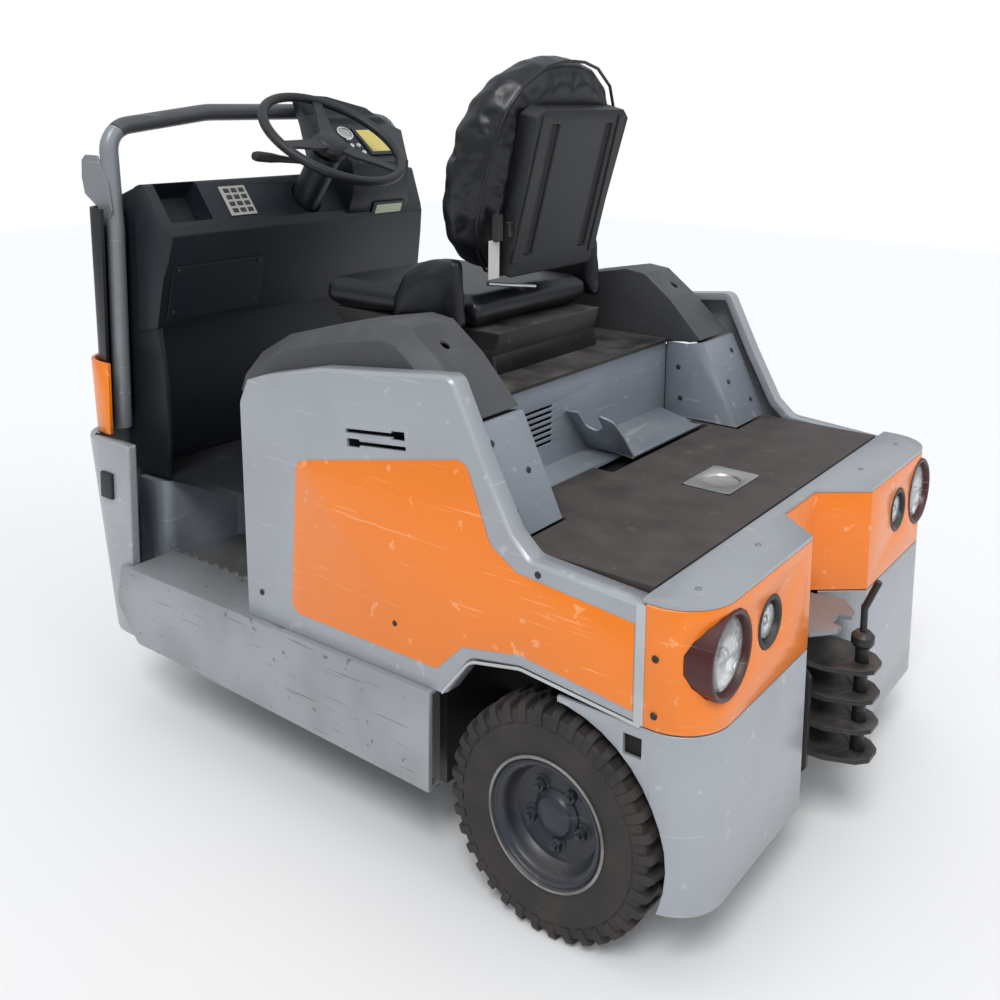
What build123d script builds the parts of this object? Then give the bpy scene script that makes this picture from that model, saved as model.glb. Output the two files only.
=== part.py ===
from build123d import *
import math
import os

# Lengths in mm. +X forward, +Y left, +Z up. x is measured from the rear axle
# until save() moves the vehicle so that its middle stands at the origin.
REAR_END_X = -365.0
FRONT_END_X = 1366.0
X_SHIFT = -(REAR_END_X + FRONT_END_X) / 2

# Wheels: tyre 4.00-8 on an 8 inch disc wheel
TYRE_R = 207.5
LUG_TOP_R = TYRE_R - 0.04
LUG_DEPTH = 13.0
LUG_COUNT = 36
LUG_WIDTH = 19.0
CROWN_R = TYRE_R - LUG_DEPTH
BEAD_R = 101.6
SEAT_R = 100.6
FLANGE_R = 118.0
FLANGE_Y = 50.0
WHEEL_SIDES = 28
RIM_SIDES = 18
NUT_CIRCLE_R = 54.0
TRACK_HALF = 511.0
FRONT_AXLE_X = 1000.0
STUB_R = 30.0
PIVOT_R = 18.0
RUNNING_GAP = 0.05
POCKET_R = 222.0

# Body
BODY_HALF = 549.0
SKIRT_HALF = 562.0
SKIN = 6.0
RAIL = 40.0
RAIL_INNER = BODY_HALF - RAIL
RIM_BAND = 17.0
SILL_TOP = 360.0
SILL_REAR_X = 253.0
SILL_FRONT_X = 1136.0
SILL_INNER = 440.0
STEP_REAR_X = 758.0
STEP_Z = 333.0
TOOTH_PITCH = 34.0
TOOTH_COUNT = 11
RISER_X = 1160.0
HOUSING_HALF = 238.0
FOOT_Z = 516.0

DECK_Z = 653.0
DECK_T = 15.0
DECK_GAP = 5.0
DECK_REAR_X = -166.0
DECK_FRONT_X = 222.0
DECK_HALF = RAIL_INNER - DECK_GAP
HUMP_INNER = 356.0
SLOPE_FOOT_X = 113.0
SLOPE_TOP_X = 205.0
WALL_X = 305.0
PLATFORM_Z = 833.0
GRAB_X = -22.0
GRAB_LENGTH = 104.0
GRAB_WIDTH = 144.0
GUARD_NOTCH = (176.0, -338.0, 84.0)

REAR_X = -284.0
CORNER_R = 91.0
NOTCH_X = -196.0
NOTCH_HALF = 80.0
TOWER_INNER = 152.0
TOWER_BOTTOM = 133.0
BAND_BOTTOM = 442.0
BAND_FRONT_X = -177.0
SHELL = 8.0
LAMP_Z = 558.0
LAMPS = ((465.0, 74.0), (322.0, 47.0))
LAMP_SIDES = 18

PIN_R = 13.0
PIN_X = -333.0
EAR_LEVELS = (182.0, 241.0, 300.0, 359.0)

HOOP_HALF = 468.0
HOOP_X = 1273.0
HOOP_TOP = 1357.0
HOOP_R = 21.0
HOOP_SIDES = 8
CORNER_STEPS = 6
MITRE_TURN = math.radians(18.0)

WHEEL_X, WHEEL_Z, WHEEL_TILT = 1058.0, 1298.0, math.radians(33.0)
STEER_RIM_R = 180.0
STEER_SIDES = 24
SHAFT_R = 12.0
COLUMN_R = 38.0


def block(x0, x1, y0, y1, z0, z1):
    """Box between the given limits."""
    return Pos((x0 + x1) / 2, (y0 + y1) / 2, (z0 + z1) / 2) * Box(x1 - x0, y1 - y0, z1 - z0)


def face_of(points, rounds=None):
    """Flat outline with the numbered corners rounded."""
    face = make_face(Polyline(*points, close=True))
    for index, radius in (rounds or {}).items():
        target = Vector(*points[index])
        corner = min(face.vertices(), key=lambda v: (Vector(v.X, v.Y) - target).length)
        face = fillet(corner, radius)
    return face


def plate_xz(outline, y0, y1, rounds=None):
    """Plate whose outline is drawn in x and z, from y0 to y1."""
    face = face_of(outline, rounds) if isinstance(outline, list) else outline
    return Pos(0, y1, 0) * Rot(90, 0, 0) * extrude(face, y1 - y0)


def plate_xy(outline, z0, z1, rounds=None):
    """Plate whose outline is drawn in x and y, from z0 to z1."""
    face = face_of(outline, rounds) if isinstance(outline, list) else outline
    return Pos(0, 0, z0) * extrude(face, z1 - z0)


def plate_yz(outline, x0, x1, rounds=None):
    """Plate whose outline is drawn in y and z, from x0 to x1."""
    return Pos(x0, 0, 0) * extrude(Plane.YZ * face_of(outline, rounds), x1 - x0)


def rod(start, end, radius, sides=0):
    """Bar between two points, round or many-sided."""
    a, b = Vector(*start), Vector(*end)
    section = RegularPolygon(radius, sides) if sides else Circle(radius)
    return Plane(origin=a, z_dir=b - a) * extrude(section, (b - a).length)


def skinned(loops):
    """Solid whose flat faces join each closed outline to the next."""
    faces = [Face(Wire.make_polygon(loops[0])), Face(Wire.make_polygon(loops[-1]))]
    for low, high in zip(loops, loops[1:]):
        for index in range(len(low)):
            after = (index + 1) % len(low)
            faces.append(Face(Wire.make_polygon([low[index], low[after], high[after], high[index]])))
    return Solid(Shell(faces))


def turned(levels, sides):
    """Many-sided turned body about z from (radius, height) levels."""
    turns = [2 * math.pi * index / sides for index in range(sides)]
    return skinned([[(r * math.cos(a), r * math.sin(a), z) for a in turns] for r, z in levels])


def mitred_tube(path, radius, sides):
    """Tube with flat sides whose bends are mitred short lengths."""
    points = [path @ 0]
    for edge in path.edges():
        turn = 0 if edge.geom_type == GeomType.LINE else edge.length / edge.radius
        steps = max(1, round(turn / MITRE_TURN))
        ends = [edge @ (index / steps) for index in range(steps + 1)]
        if (ends[-1] - points[-1]).length < (ends[0] - points[-1]).length:
            ends.reverse()
        points += ends[1:]
    runs = [(after - before).normalized() for before, after in zip(points, points[1:])]
    section = Plane(origin=points[0], z_dir=runs[0]) * RegularPolygon(radius, sides)
    loops = [[edge @ 0 for edge in section.wire().order_edges()]]
    for index, run in enumerate(runs):
        mitre = run + runs[min(index + 1, len(runs) - 1)]
        loops.append([p + run * ((points[index + 1] - p).dot(mitre) / run.dot(mitre)) for p in loops[-1]])
    return skinned(loops)


def both(shape):
    """The shape and its mirror image on the other side of the vehicle."""
    return Compound(children=[*shape.solids(), *mirror(shape, about=Plane.XZ).solids()])


def gather(shapes):
    """One node from solids that don't touch."""
    return Compound(children=[solid for shape in shapes for solid in shape.solids()])


def save(name, shape):
    """Move the piece into the vehicle's frame and write it."""
    export_step(Pos(X_SHIFT, 0, 0) * shape, f"parts/{name}.step")


def tyre_about_y():
    """Block-lugged tyre about the origin, axle along y."""
    side = [(BEAD_R + 2, -41), (168, -51), (CROWN_R, -47), (CROWN_R, 47), (168, 51), (BEAD_R + 2, 41)]
    body = turned(side, WHEEL_SIDES) - turned([(BEAD_R, -60), (BEAD_R, 60)], WHEEL_SIDES)
    outline = [(188, 12), (LUG_TOP_R, 12), (LUG_TOP_R - 2, 43), (190, 47)]
    lug = Pos(0, 0, -LUG_WIDTH / 2) * extrude(make_face(Polyline(*outline, close=True)), LUG_WIDTH)
    pitch = 360.0 / LUG_COUNT
    tyre = Rot(90, 0, 0) * body
    lugs = []
    for index in range(LUG_COUNT):
        lugs.append(Rot(0, index * pitch, 0) * lug)
        lugs.append(Rot(0, (index + 0.5) * pitch, 0) * mirror(lug, about=Plane.XZ))
    return tyre + lugs


def rim_about_y():
    """Dished disc wheel about the origin with its outer face towards +y."""
    barrel = [(FLANGE_R, -FLANGE_Y), (FLANGE_R, -46), (SEAT_R, -42), (SEAT_R, 42), (FLANGE_R, 46),
              (FLANGE_R, FLANGE_Y)]
    dish = [(70, 8), (90, 18), (97, 42), (108, FLANGE_Y + 1)]
    back = [(107, -FLANGE_Y - 1), (94, -40), (90, -8)]
    rim = turned(barrel, RIM_SIDES) - turned(dish, RIM_SIDES) - turned(back, RIM_SIDES)
    rim += turned([(44, -46), (44, 8), (34, 22), (24, 26)], RIM_SIDES // 2)
    rim -= rod((0, 0, -47), (0, 0, 14), STUB_R + RUNNING_GAP)
    nut = Pos(NUT_CIRCLE_R, 0, 8) * extrude(RegularPolygon(12, 6), 14)
    rim += [Rot(0, 0, 72 * index + 20) * nut for index in range(5)]
    return Rot(-90, 0, 0) * rim


def rear_wheels(tyre, rim):
    """Both rear wheels and the axle that carries them."""
    place = Pos(0, TRACK_HALF, TYRE_R)
    for side, shape_of in (("left", lambda s: s), ("right", lambda s: mirror(s, about=Plane.XZ))):
        save(f"rear_tyre_{side}", shape_of(place * tyre))
        save(f"rear_rim_{side}", shape_of(place * rim))
    drum_y = TRACK_HALF - 58
    axle = rod((0, -drum_y, TYRE_R), (0, drum_y, TYRE_R), 46, 12)
    axle += block(-70, 70, -110, 110, TYRE_R - 72, TYRE_R + 84)
    axle += both(rod((0, drum_y - 22, TYRE_R), (0, drum_y, TYRE_R), 84, 16))
    axle += both(rod((0, drum_y - 2, TYRE_R), (0, TRACK_HALF + 12, TYRE_R), STUB_R))
    save("rear_axle", axle)


def front_wheel(tyre, rim):
    """Steered front wheel in its fork, with the upright bearing above."""
    place = Pos(FRONT_AXLE_X, 0, TYRE_R)
    bore = rod((0, -90, 0), (0, 90, 0), PIVOT_R + RUNNING_GAP)
    save("front_tyre", place * tyre)
    save("front_rim", place * (rim + rod((0, -64, 0), (0, 64, 0), 46, 14) - bore))
    leg = plate_xz([(-42, TYRE_R - 38), (42, TYRE_R - 38), (48, 440), (-48, 440)], 72, 86, {0: 30, 1: 30})
    fork = Pos(FRONT_AXLE_X, 0, 0) * both(leg)
    fork = Part() + fork.solids() + rod((FRONT_AXLE_X, -86, TYRE_R), (FRONT_AXLE_X, 86, TYRE_R), PIVOT_R)
    fork += block(FRONT_AXLE_X - 60, FRONT_AXLE_X + 60, -86, 86, 428, 444)
    fork += rod((FRONT_AXLE_X, 0, 440), (FRONT_AXLE_X, 0, 506), 35)
    save("steer_fork", fork)


def chassis():
    """Frame with the steering bearing, sills, steps, riser and foot plate."""
    skirt = [(SILL_REAR_X, 167), (SILL_REAR_X, SILL_TOP), (1160, SILL_TOP), (1178, 268), (1106, 190),
             (1000, 190)]
    sill = plate_xz(skirt, SKIRT_HALF - 10, SKIRT_HALF, {3: 30, 4: 24})
    sill += block(STEP_REAR_X, SILL_FRONT_X, SILL_INNER + 1, SKIRT_HALF, SILL_TOP - 8, SILL_TOP)
    sill += block(SILL_REAR_X, STEP_REAR_X + 1, BODY_HALF - 30, SKIRT_HALF, SILL_TOP - 8, SILL_TOP)
    sill += block(SILL_REAR_X, 1000, SKIRT_HALF - 30, SKIRT_HALF, 167, 175) - plate_xz(
        [(SILL_REAR_X, 167), (1000, 190), (1000, 100), (SILL_REAR_X, 100)], 500, 600)
    save("side_sills", both(sill))

    frame = Part() + both(block(-110, 1150, 300, 320, 150, 245)).solids()
    frame += block(262, 280, -500, 500, 150, 350) + block(732, 748, -500, 500, 200, 350)
    frame += block(-110, -94, -320, 320, 150, 245) + block(280, 732, -300, 300, 150, 158)
    frame -= rod((0, -400, TYRE_R), (0, 400, TYRE_R), 47, 12)
    frame += block(FRONT_AXLE_X - 100, FRONT_AXLE_X + 100, -230, 230, 484, 506)
    frame += rod((FRONT_AXLE_X, 0, 452), (FRONT_AXLE_X, 0, 506), 58, 16)
    frame += both(block(FRONT_AXLE_X - 100, FRONT_AXLE_X + 100, 222, 230, 236, 506)).solids()
    frame += both(block(FRONT_AXLE_X - 100, FRONT_AXLE_X + 100, 222, 301, 222, 240)).solids()
    frame -= rod((FRONT_AXLE_X, 0, 440), (FRONT_AXLE_X, 0, 520), 35 + RUNNING_GAP)
    save("chassis_frame", frame)

    step = block(STEP_REAR_X, 1150, HOUSING_HALF + 2, SILL_INNER, STEP_Z - 6, STEP_Z)
    step += block(STEP_REAR_X, 1150, SILL_INNER - 8, SILL_INNER, STEP_Z - 6, SILL_TOP - 4)
    for index in range(TOOTH_COUNT):
        x = STEP_REAR_X + 20 + index * TOOTH_PITCH
        step += block(x, x + TOOTH_PITCH / 2, SILL_INNER - 8, SILL_INNER, SILL_TOP - 5, SILL_TOP + 3)
    save("step_plates", both(step))

    box = [(750, -HOUSING_HALF), (750, HOUSING_HALF), (RISER_X, HOUSING_HALF), (RISER_X, 446), (1250, 446),
           (1250, -446), (RISER_X, -446), (RISER_X, -HOUSING_HALF)]
    outer = face_of(box, {3: 34, 6: 34})
    inner = offset(outer, -SKIN)
    shell = plate_xy(outer, 252, FOOT_Z) - plate_xy(inner, 240, FOOT_Z - SKIN)
    save("wheel_housing", shell)
    save("foot_plate", plate_xy([(880, -400), (880, 400), (1250, 430), (1250, -430)], FOOT_Z + 1, FOOT_Z + 16,
                                {0: 30, 1: 30}))


def battery():
    """Battery block between the rear axle and the seat front."""
    save("battery", block(60, 700, -290, 290, 352, 630))


def rear_plan(margin, half=BODY_HALF, inner=0.0):
    """Plan outline of the rear end with its coupling notch, set in by a margin."""
    rear = REAR_X + margin
    front = BAND_FRONT_X if margin == 0 else 0
    cut = margin * 0.6
    return [(front, -half + margin), (rear, -half + margin), (rear, -TOWER_INNER - cut),
            (NOTCH_X + margin, -NOTCH_HALF - cut), (NOTCH_X + margin, NOTCH_HALF + cut),
            (rear, TOWER_INNER + cut), (rear, half - margin), (front, half - margin)]


def rear_end():
    """Lower towers, orange bands, lamps, top plate and the plate behind the coupling."""
    corners = {1: CORNER_R, 6: CORNER_R}
    band = plate_xy(rear_plan(0), BAND_BOTTOM, DECK_Z - 9, corners)
    band -= plate_xy(rear_plan(SHELL), BAND_BOTTOM - 5, DECK_Z, {1: CORNER_R - SHELL, 6: CORNER_R - SHELL})
    for y, radius in LAMPS:
        hole = rod((REAR_X - 20, y, LAMP_Z), (REAR_X + 46, y, LAMP_Z), radius, LAMP_SIDES)
        band -= both(hole)
    save("rear_bands", band)

    wall = [(-14, BODY_HALF), (REAR_X, BODY_HALF), (REAR_X, TOWER_INNER), (NOTCH_X - 10, NOTCH_HALF + 8)]
    inside = [(-14, BODY_HALF - SHELL), (REAR_X + SHELL, BODY_HALF - SHELL), (REAR_X + SHELL, TOWER_INNER + 5),
              (NOTCH_X - 6, NOTCH_HALF + 15)]
    tower = plate_xy(wall + inside[::-1], TOWER_BOTTOM, BAND_BOTTOM - 3, {1: CORNER_R, 6: CORNER_R - SHELL})
    tower -= rod((0, 440, TYRE_R), (0, 600, TYRE_R), POCKET_R, 40)
    tower -= block(-176, -142, BODY_HALF - 20, BODY_HALF + 5, 384, 420)
    save("rear_lower_panels", both(tower))

    cups, lenses = [], []
    for y, radius in LAMPS:
        place = Pos(REAR_X + 6, y, LAMP_Z) * Rot(0, 90, 0)
        cup = turned([(radius - 1, 0), (radius - 1, 38)], LAMP_SIDES)
        cup -= turned([(radius - 6, -1), (radius - 12, 16), (radius - 12, 31)], LAMP_SIDES)
        cups.append(place * cup)
        lenses.append(place * turned([(radius * 0.55, 8), (radius - 14, 15), (radius - 14, 30)], LAMP_SIDES))
    save("lamp_bezels", both(gather(cups)))
    save("lamp_lenses", both(gather(lenses)))

    front_x = DECK_REAR_X - DECK_GAP
    top = [(front_x, -BODY_HALF + 1), (REAR_X, -BODY_HALF + 1), (REAR_X, -TOWER_INNER),
           (NOTCH_X, -NOTCH_HALF), (NOTCH_X, NOTCH_HALF), (REAR_X, TOWER_INNER), (REAR_X, BODY_HALF - 1),
           (front_x, BODY_HALF - 1)]
    save("rear_top_plate", plate_xy(top, DECK_Z - 8, DECK_Z, corners))
    back = block(NOTCH_X - 4, NOTCH_X + 4, -NOTCH_HALF + 2, NOTCH_HALF - 2, 141, BAND_BOTTOM - 3)
    shelf = [(NOTCH_X - 4, -NOTCH_HALF + 2), (NOTCH_X - 4, NOTCH_HALF - 2), (-262, NOTCH_HALF + 10),
             (-300, 46), (-300, 26), (-276, 20), (-276, -20), (-300, -26), (-300, -46), (-262, -NOTCH_HALF - 10)]
    save("rear_bulkhead", back + plate_xy(shelf, 430, 438))


def coupling():
    """Stepped tow jaws on two cheek plates, and their lift-out pin."""
    cheek = [(NOTCH_X - 5, 141), (-248, 141), (-262, 160), (-262, 340), (-240, 368), (NOTCH_X - 5, 368)]
    jaws = Part() + both(plate_xz(cheek, 62, 74)).solids()
    tip = PIN_X - 32
    outline = [(NOTCH_X - 5, -63), (NOTCH_X - 5, 63), (-290, 63), (-346, 42), (tip, 21), (tip, -21), (-346, -42),
               (-290, -63)]
    for level in EAR_LEVELS:
        jaws += plate_xy(outline, level, level + 10)
    jaws += block(NOTCH_X - 13, NOTCH_X - 5, -63, 63, 141, 368)
    jaws -= rod((PIN_X, 0, 100), (PIN_X, 0, 400), PIN_R + RUNNING_GAP)
    save("tow_jaws", jaws)
    knob = turned([(16, 0), (22, 8), (22, 22), (14, 30)], 16)
    pin = rod((PIN_X, 0, 168), (PIN_X, 0, 402), PIN_R) + Pos(PIN_X, 0, 398) * knob
    pin += rod((PIN_X, 0, 425), (PIN_X, 0, 480), 7, 8) + rod((PIN_X, 0, 474), (PIN_X - 24, 0, 532), 7, 8)
    save("coupling_pin", pin)


def side_panels():
    """Pressed side skins with their rounded rail, and the orange panels let into them."""
    outline = [(752, SILL_TOP + 1), (766, 802), (744, 848), (690, 867), (540, 903), (218, 939), (151, 807),
               (86, 691), (46, 656), (-173, 641), (-173, 439), (62, 461), (167, 443), (226, SILL_TOP + 1)]
    face = face_of(outline, {1: 26, 5: 24, 8: 30, 12: 30})
    panel = plate_xz(face, RAIL_INNER, BODY_HALF)
    soft = [edge for edge in panel.faces().sort_by(Axis.Y)[-1].edges()
            if edge.center().Z > SILL_TOP + 20 and edge.center().X > -170]
    panel = chamfer(soft, 6)
    panel -= plate_xz(offset(face, -RIM_BAND), RAIL_INNER - 5, BODY_HALF - SKIN)
    slope = Rot(0, 6, 0)
    for x, z, fat_end in ((394, 806, -57), (391, 784, 57)):
        key = Pos(x, 0, z) * slope * (Pos(0, 560, 0) * Rot(90, 0, 0) * extrude(
            Rectangle(146, 8) + Pos(fat_end, 0) * Rectangle(32, 16), 30))
        panel -= key
    save("side_panels", both(panel))
    inset = [(618, 404), (600, 714), (183, 800), (128, 663), (70, 628), (-158, 607), (-158, 462),
             (62, 486), (186, 462), (246, 404)]
    skin = plate_xz(inset, BODY_HALF, BODY_HALF + 1.5, {0: 26, 1: 26, 2: 26, 3: 40, 7: 30})
    save("inset_panels", both(skin))


def cap_body(margin):
    """Moulded cap over a hump, set in by a margin, with its sloped upper edge."""
    profile = [(806, 808), (775, 888), (690, 936), (560, 970), (425, 996), (372, 990), (300, 936),
               (214, PLATFORM_Z + 14), (240, PLATFORM_Z + 5), (745, PLATFORM_Z + 5), (748, 808)]
    face = face_of(profile) if margin == 0 else offset(face_of(profile), -margin)
    body = plate_xz(face, HUMP_INNER + margin, RAIL_INNER - 2 - margin)
    upper = [edge for edge in body.faces().sort_by(Axis.Y)[-1].edges()
             if edge.center().Z > 880 and edge.center().X > 320]
    return chamfer(upper, 30)


def humps():
    """Caps, slope panels, seat wall with its louvre, platform, front wall and plug guard."""
    cap = cap_body(0) - cap_body(5)
    cap -= block(300, 735, HUMP_INNER + 5, RAIL_INNER - 8, PLATFORM_Z - 2, PLATFORM_Z + 12)
    cap -= Pos(330, 430, 980) * Cylinder(9, 80)
    save("hump_caps", both(cap))
    slope = plate_xz([(SLOPE_FOOT_X, DECK_Z + 1), (SLOPE_TOP_X, PLATFORM_Z + 8), (SLOPE_TOP_X + 8, PLATFORM_Z + 8),
                      (SLOPE_FOOT_X + 8, DECK_Z + 1)], HUMP_INNER, RAIL_INNER - 1)
    cheek = plate_xz([(SLOPE_FOOT_X, DECK_Z + 1), (SLOPE_TOP_X, PLATFORM_Z + 8), (214, PLATFORM_Z + 8),
                      (250, PLATFORM_Z), (WALL_X - 1, PLATFORM_Z), (WALL_X - 1, DECK_Z + 1)],
                     HUMP_INNER, HUMP_INNER + SKIN)
    save("slope_panels", both(slope + cheek))

    ledge_x = DECK_FRONT_X + DECK_GAP
    ledge = [(ledge_x, DECK_Z - 8), (ledge_x, DECK_Z), (WALL_X, DECK_Z), (WALL_X, PLATFORM_Z),
             (WALL_X + 5, PLATFORM_Z), (WALL_X + 5, DECK_Z - 8)]
    wall = plate_xz(ledge, -HUMP_INNER + 1, HUMP_INNER - 1)
    for index in range(7):
        z = 700 + index * 12.5
        wall -= block(WALL_X - 5, WALL_X + 12, 118, 262, z, z + 6)
    save("seat_wall", wall)
    save("seat_platform", block(WALL_X - 8, 745, -HUMP_INNER + 4, HUMP_INNER - 4, PLATFORM_Z + 1, PLATFORM_Z + 8))
    front = [(-506, SILL_TOP + 2), (-506, 800), (-350, 800), (-350, PLATFORM_Z), (350, PLATFORM_Z), (350, 800),
             (506, 800), (506, SILL_TOP + 2)]
    save("seat_front_wall", plate_yz(front, 734, 742))


def plug_guard():
    """Bent tray for the charging plug: a low concave sheet with a hooked flap at its left end."""
    tray = [(186, DECK_Z + 1), (245, DECK_Z + 6), (304, DECK_Z + 19), (304, DECK_Z + 24), (243, DECK_Z + 11),
            (184, DECK_Z + 6)]
    sheet = plate_xz(tray, -330, -13)
    nose = plate_xy([(184, -400), (184, -270), (230, -329), (260, -400)], DECK_Z - 5, DECK_Z + 40, {1: 20})
    hooked = [(0, 0), (2, 134), (34, 138), (34, 88), (58, 76), (80, 96), (84, 140), (116, 128), (121, 70),
              (119, 2)]
    lean = math.degrees(math.atan2(86, 98))
    flap = extrude(face_of(hooked, {3: 12, 4: 14, 6: 6, 7: 24}), 4)
    place = Pos(WALL_X - 1, -18, DECK_Z + 6) * Rot(-lean, 0, 0) * Rot(90, 0, 0) * Rot(0, 180, 0)
    return sheet - nose + place * flap


def deck():
    """Lift-off deck cover with its recessed grab, notched to rise past the plug guard."""
    side_x, mid_half = SLOPE_FOOT_X - 6, HUMP_INNER - 6
    outline = [(DECK_REAR_X, -DECK_HALF), (DECK_REAR_X, DECK_HALF), (side_x, DECK_HALF), (side_x, mid_half),
               (DECK_FRONT_X, mid_half), (DECK_FRONT_X, -mid_half), (side_x, -mid_half), (side_x, -DECK_HALF)]
    x0, x1 = GRAB_X - GRAB_LENGTH / 2, GRAB_X + GRAB_LENGTH / 2
    y1 = GRAB_WIDTH / 2 - 12
    y0 = y1 - GRAB_WIDTH
    board = plate_xy(outline, DECK_Z - DECK_T, DECK_Z)
    board -= block(x0 - 0.5, x1 + 0.5, y0 - 0.5, y1 + 0.5, DECK_Z - 9, DECK_Z + 1)
    notch_x, notch_right, notch_left = GUARD_NOTCH
    board -= block(notch_x, DECK_FRONT_X + 1, notch_right, notch_left, DECK_Z - DECK_T - 1, DECK_Z + 1)
    save("deck_board", board)
    grab = block(x0, x1, y0, y1, DECK_Z - 8, DECK_Z + 1)
    grab -= Pos(GRAB_X, (y0 + y1) / 2, DECK_Z - 4) * turned([(30, 0), (40, 6)], 20)
    save("deck_grab", grab)
    save("plug_guard", plug_guard())


def guard_hoop():
    """Bent tube hoop ahead of the driver, with a lug plate welded on each side."""
    side = [(HOOP_X, HOOP_HALF, 637), (HOOP_X, HOOP_HALF, 1090), (1300, HOOP_HALF - 6, 1322),
            (1300, 190, HOOP_TOP)]
    mirrored = [(x, -y, z) for x, y, z in reversed(side)]
    bends = [200, 62, 300, 300, 62, 200]
    hoop = mitred_tube(FilletPolyline(*side, *mirrored, radius=bends), HOOP_R, HOOP_SIDES)
    lug = [(1276, 1100), (1257, 1140), (1270, 1200), (1306, 1262), (1364, 1257), (1366, 1211), (1356, 1173),
           (1308, 1145), (1290, 1108)]
    plate = plate_xz(lug, HOOP_HALF + 14, HOOP_HALF + 20, {4: 12, 6: 12})
    save("guard_hoop", Part() + hoop + both(plate).solids())


def front_end():
    """Steel bumper, orange cover above it and the black cowl behind the hoop."""
    def ring(front, half, rear, z, radius):
        turns = [math.radians(90 * index / CORNER_STEPS) for index in range(CORNER_STEPS + 1)]
        left = [(front - radius + radius * math.sin(a), half - radius + radius * math.cos(a), z) for a in turns]
        return [(rear, half, z), *left, *[(x, -y, z) for x, y, z in reversed(left)], (rear, -half, z)]

    def tapered(low, high):
        return skinned([ring(*low), ring(*high)])

    bumper = tapered((1262, 548, 1140, 190, 90), (1345, 548, 1140, 632, 90))
    bumper -= tapered((1240, 524, 1000, 180, 66), (1325, 524, 1000, 642, 66))
    save("front_bumper", bumper)
    cover = tapered((1342, 524, 1238, 636, 80), (1358, 524, 1238, 800, 80))
    cover -= tapered((1335, 517, 1000, 630, 74), (1351, 517, 1000, 806, 74))
    save("front_cover", cover)
    cowl = tapered((1332, 514, 1258, 638, 72), (1350, 514, 1258, 1146, 72))
    cowl -= tapered((1324, 506, 1200, 630, 66), (1342, 506, 1200, 1150, 66))
    save("front_cowl", cowl)


def steering_axis(distance):
    """Point on the steering shaft, a distance below the wheel's centre."""
    return WHEEL_X + distance * math.sin(WHEEL_TILT), 0.0, WHEEL_Z - distance * math.cos(WHEEL_TILT)


def console():
    """Dash console over the foot room, instrument hood, column and steering wheel."""
    profile = [(1336, 1150), (1336, 1158), (1276, 1176), (1202, 1204), (1128, 1108), (1118, 1088), (1126, 1030),
               (1162, 880), (1250, 862), (1250, FOOT_Z + 18), (1258, FOOT_Z + 18), (1290, 1120), (1290, 1150)]
    body = plate_xz(profile, -446, 446, {3: 20, 4: 10, 5: 10})
    plan = [(1400, -442), (1400, 442), (1236, 442), (1226, 448), (1136, 448), (1112, 424), (1112, -388),
            (1200, -442)]
    cheek = [(1276, FOOT_Z + 18), (1276, 874), (1166, 878), (1146, 760), (1142, 614), (1150, FOOT_Z + 18)]
    body = body & plate_xy(plan, 400, 1300)
    body += both(plate_xz(cheek, 430, 442)).solids()
    tray = [(1196, 1210), (1128, 1122), (1180, 1082), (1240, 1160)]
    body -= plate_xz(tray, 306, 420, {1: 12, 2: 12})
    well = rod(steering_axis(250), steering_axis(20), COLUMN_R + 4, 20)

    hood = plate_xz([(1100, 1236), (1236, 1350), (1250, 1402), (1266, 1396), (1266, 1100), (1140, 1050),
                     (1104, 1150)], -446, 20, {0: 16, 2: 6})
    hood_front = [(-48, 1404), (-80, 1322), (-112, 1204), (-112, 1000), (-440, 1000), (-440, 1180),
                  (-425, 1290), (-300, 1368), (-160, 1398)]
    hood = hood & plate_yz(hood_front, 1000, 1300, {2: 40, 6: 50, 7: 40})
    hood -= plate_xy([(1090, -310), (1290, -470), (1090, -470)], 1000, 1420)
    hood -= plate_xz([(1080, 1232), (1108, 1229), (1226, 1328), (1226, 1400), (1080, 1400)], -400, -132)
    hood = hood - body - well
    save("dash_console", body - well)
    save("dash_hood", max(hood.solids(), key=lambda solid: solid.volume))

    column = rod(steering_axis(245), steering_axis(46), COLUMN_R, 20)
    column -= rod(steering_axis(225), steering_axis(0), SHAFT_R + RUNNING_GAP)
    save("steering_column", column)
    axis = Plane(origin=steering_axis(0), z_dir=(-math.sin(WHEEL_TILT), 0, math.cos(WHEEL_TILT)),
                 x_dir=(math.cos(WHEEL_TILT), 0, math.sin(WHEEL_TILT)))
    ring = turned([(STEER_RIM_R + 6, -12), (STEER_RIM_R + 13, 0), (STEER_RIM_R + 6, 12)], STEER_SIDES)
    ring -= turned([(STEER_RIM_R - 5, -13), (STEER_RIM_R - 13, 0), (STEER_RIM_R - 5, 13)], STEER_SIDES)
    ring += turned([(46, -36), (50, -20), (38, 0)], 20)
    spoke = skinned([[(r, y * half, z + t) for y, t in ((-1, 0), (1, 0), (1, thick), (-1, thick))]
                     for r, half, z, thick in ((30, 26, -21, 14), (STEER_RIM_R - 4, 15, -6, 8))])
    ring += [Rot(0, 0, angle) * spoke for angle in (-24, 96, 216)]
    ring += rod((0, 0, -220), (0, 0, -30), SHAFT_R)
    save("steering_wheel", axis.location * ring)


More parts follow.
